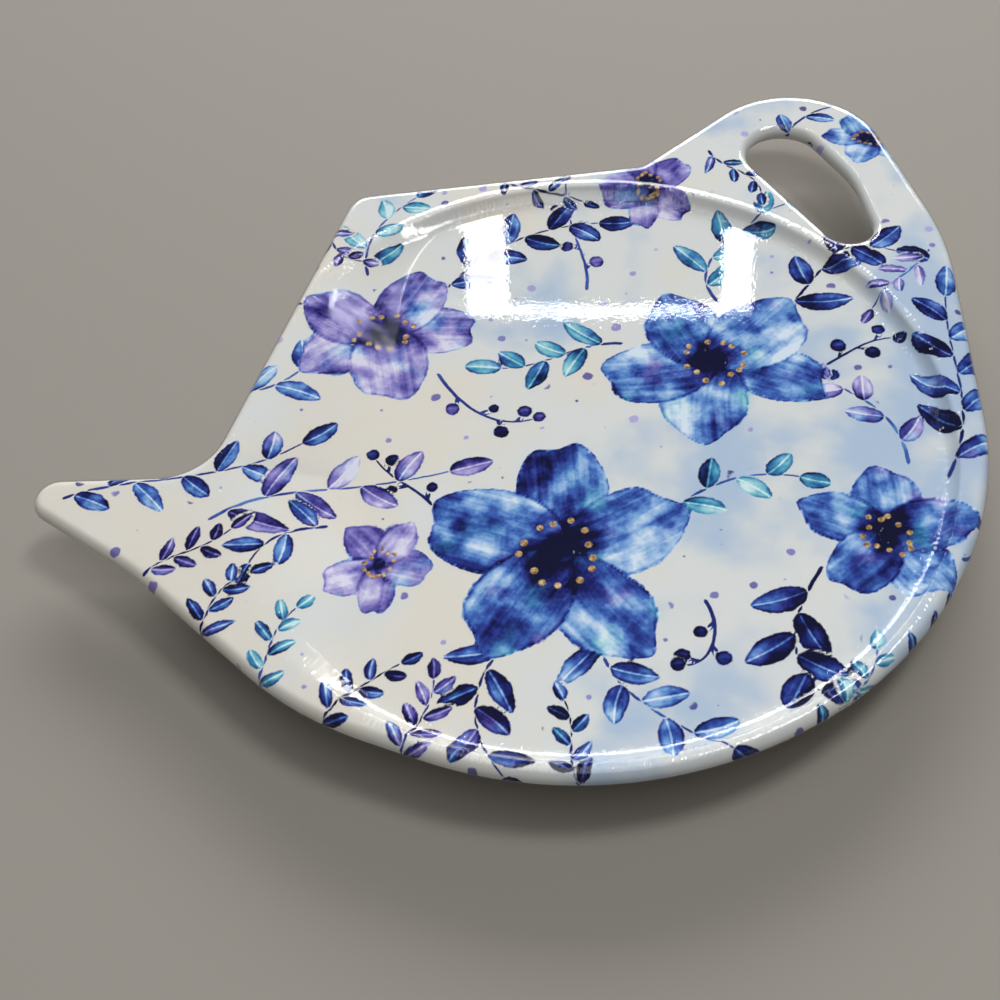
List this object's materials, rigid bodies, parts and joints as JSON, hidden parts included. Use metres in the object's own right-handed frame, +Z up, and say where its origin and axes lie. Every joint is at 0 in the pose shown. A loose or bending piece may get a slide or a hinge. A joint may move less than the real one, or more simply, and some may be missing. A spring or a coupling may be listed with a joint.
{
  "type": "tea bag rest",
  "caption": "Shallow teapot-shaped melamine dish with a spout, a looped handle and a foot ring, printed on its top face under a clear glaze, for resting used tea bags.",
  "frame": {"origin": "centre of the footprint's bounding box, on the plane of the table that the foot ring stands on", "axes": "+X from the spout towards the handle, +Y from the belly's front towards the lid's edge, +Z up"},
  "size_m": [0.1596, 0.14, 0.0125],
  "materials": {
    "melamine": "white moulded melamine, polished",
    "printed_foil": "white foil with a blue watercolour print",
    "clear_glaze": "clear, high gloss"
  },
  "bodies": {
    "root": {"moulded_body": "melamine", "decor_foil": "printed_foil", "clear_glaze": "clear_glaze"}
  },
  "joints": []
}
